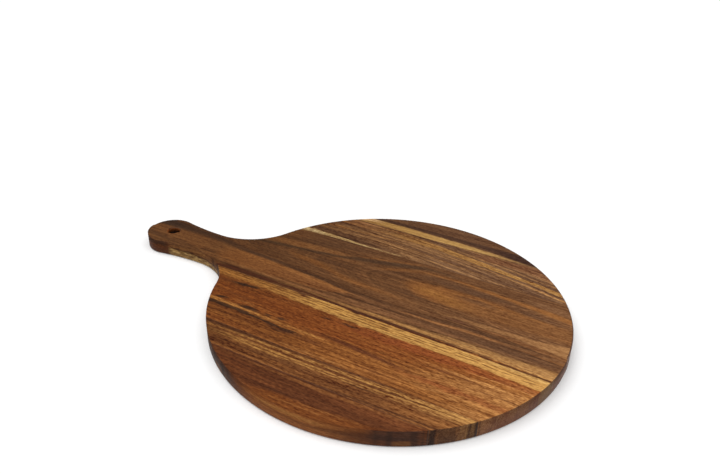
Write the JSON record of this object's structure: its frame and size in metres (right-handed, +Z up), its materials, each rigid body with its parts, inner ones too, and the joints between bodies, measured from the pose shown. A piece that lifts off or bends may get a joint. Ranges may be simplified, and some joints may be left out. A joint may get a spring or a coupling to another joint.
{
  "type": "serving board",
  "caption": "Round wooden serving board with a waisted handle and a hanging hole, edge-glued from acacia staves with eased edges.",
  "frame": {"origin": "centre of the disc, on the underside that the board rests on", "axes": "+Y along the handle, from the disc to the hanging hole; +Z up, out of the serving face; +X to the right, seen from above with the handle pointing away"},
  "size_m": [0.32, 0.44, 0.015],
  "materials": {
    "left_edge_wood": "dark red-brown heartwood, oiled, satin",
    "striped_wood": "brown with pale stripes, oiled, satin",
    "red_wood": "orange to red-brown heartwood with a honey sapwood stripe, oiled, satin",
    "handle_wood": "grey-brown flat-sawn heartwood, oiled, satin",
    "streaked_wood": "brown with fine pale streaks, oiled, satin",
    "right_edge_wood": "dark brown with a pale sapwood edge, oiled, satin",
    "glue": "cured wood glue, matte"
  },
  "bodies": {
    "root": {"left_edge_stave": "left_edge_wood", "striped_stave": "striped_wood", "red_stave": "red_wood", "handle_stave": "handle_wood", "streaked_stave": "streaked_wood", "right_edge_stave": "right_edge_wood", "glue_line_1": "glue", "glue_line_2": "glue", "glue_line_3": "glue", "glue_line_4": "glue", "glue_line_5": "glue"}
  },
  "joints": []
}
